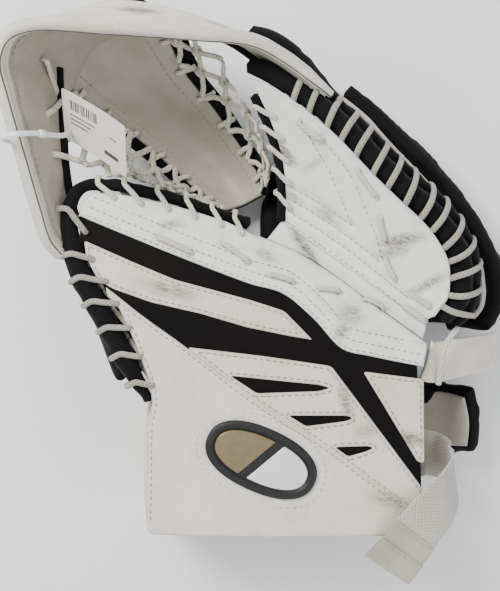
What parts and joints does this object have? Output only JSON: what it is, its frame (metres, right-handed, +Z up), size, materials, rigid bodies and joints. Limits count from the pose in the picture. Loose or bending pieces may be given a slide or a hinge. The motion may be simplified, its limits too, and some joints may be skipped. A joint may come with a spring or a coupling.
{
  "type": "goalie catch glove",
  "caption": "Ice hockey goalie catch glove lying palm up, with a cuff, a folding finger half, a T-shaped laced pocket and a wrist strap.",
  "frame": {"origin": "on the surface the glove lies on, under the middle of its box", "axes": "+Z up out of the palm, +Y from the cuff to the pocket, +X from the thumb to the finger tips"},
  "size_m": [0.3808, 0.4344, 0.142],
  "materials": {
    "white_leather": "satin pebbled leather",
    "shaded_leather": "satin pebbled leather, a little greyer",
    "black_leather": "satin smooth leather",
    "black_nylon": "matt woven nylon",
    "foam": "matt closed-cell foam",
    "board": "matt sheet plastic",
    "lining": "matt knitted lining",
    "lace": "matt braided lace",
    "net_cord": "matt braided cord",
    "webbing": "matt woven webbing",
    "badge_black": "satin moulded rubber",
    "badge_gold": "pearl gloss inlay",
    "card": "matt coated card",
    "clear_nylon": "gloss translucent nylon"
  },
  "bodies": {
    "thumb_half": {"palm_thumb_skin": "white_leather", "graphic_base_black": "black_leather", "stripe_overlay_upper": "white_leather", "stripe_overlay_slotted": "white_leather", "stripe_overlay_side": "white_leather", "cuff_panel": "white_leather", "cuff_side_panel": "white_leather", "thumb_foam": "foam", "cuff_board": "board", "cuff_lining": "lining", "badge_plate": "badge_black", "badge_inlay": "badge_gold", "thumb_edge_roll": "black_nylon", "thumb_edge_lace": "lace", "thumb_pocket_roll": "black_nylon", "thumb_pocket_lace": "lace", "thumb_side_pad": "black_nylon", "thumb_back_pad": "black_nylon", "thumb_sleeve": "lining", "wrist_strap_keeper": "black_nylon", "strap_anchor": "webbing", "t_band_left": "white_leather", "band_lip_left": "white_leather", "left_net": "net_cord", "cable_tie": "clear_nylon", "palm_lace_thumb_1": "lace", "palm_lace_thumb_2": "lace", "palm_lace_thumb_3": "lace"},
    "pocket": {"t_stem_skin": "shaded_leather", "t_stem_board": "board", "t_stem_back": "black_nylon", "t_band_corner": "white_leather", "band_lip_corner": "white_leather", "break_gusset": "shaded_leather"},
    "finger_half": {"finger_palm_skin": "white_leather", "finger_foam": "foam", "finger_back_panel": "black_nylon", "finger_edge_roll_front": "black_nylon", "finger_edge_roll_back": "black_nylon", "finger_edge_lace": "lace", "finger_pocket_roll": "black_nylon", "finger_pocket_lace": "lace", "finger_back_pad": "black_nylon", "backhand_pad": "black_nylon", "finger_sleeve_1": "lining", "finger_sleeve_2": "lining", "finger_sleeve_3": "lining", "finger_sleeve_4": "lining", "t_band_right": "white_leather", "band_lip_right": "white_leather", "right_net": "net_cord", "heel_strap": "white_leather", "heel_lace": "lace", "palm_lace_finger_1": "lace", "palm_lace_finger_2": "lace", "palm_lace_finger_3": "lace"},
    "wrist_pad": {"wrist_pad": "black_nylon"},
    "strap_tail": {"wrist_strap": "webbing", "strap_tab": "shaded_leather"},
    "price_card": {"price_card": "card"}
  },
  "joints": [
    {"name": "pocket_fold", "type": "hinge", "parent": "thumb_half", "child": "pocket", "pos_m": [0.00691, 0.0443, 0.05732], "axis": [0.7886, -0.588, 0.1799], "range_deg": [0, 25], "stiffness_Nm_per_rad": 0.8, "deforming": ["t_band_left", "band_lip_left", "left_net", "break_gusset"]},
    {"name": "finger_fold", "type": "hinge", "parent": "pocket", "child": "finger_half", "pos_m": [0.00691, 0.0443, 0.05732], "axis": [0.7886, -0.588, 0.1799], "range_deg": [0, 25], "deforming": ["t_band_right", "band_lip_right", "right_net"]},
    {"name": "wrist_pad_flap", "type": "hinge", "parent": "thumb_half", "child": "wrist_pad", "pos_m": [-0.08109, -0.1117, 0.00732], "axis": [0, 1, 0], "range_deg": [0, 30]},
    {"name": "strap_fold", "type": "hinge", "parent": "thumb_half", "child": "strap_tail", "pos_m": [0.13891, -0.1387, 0.06032], "axis": [0, 1, 0], "range_deg": [0, 110]},
    {"name": "card_swing", "type": "hinge", "parent": "thumb_half", "child": "price_card", "pos_m": [-0.14478, 0.11222, 0.08008], "axis": [0.0575, 0.7469, 0.6624], "range_deg": [0, 35]}
  ],
  "couplings": [
    {"joint": "finger_fold", "follows": "pocket_fold", "ratio": 1}
  ]
}
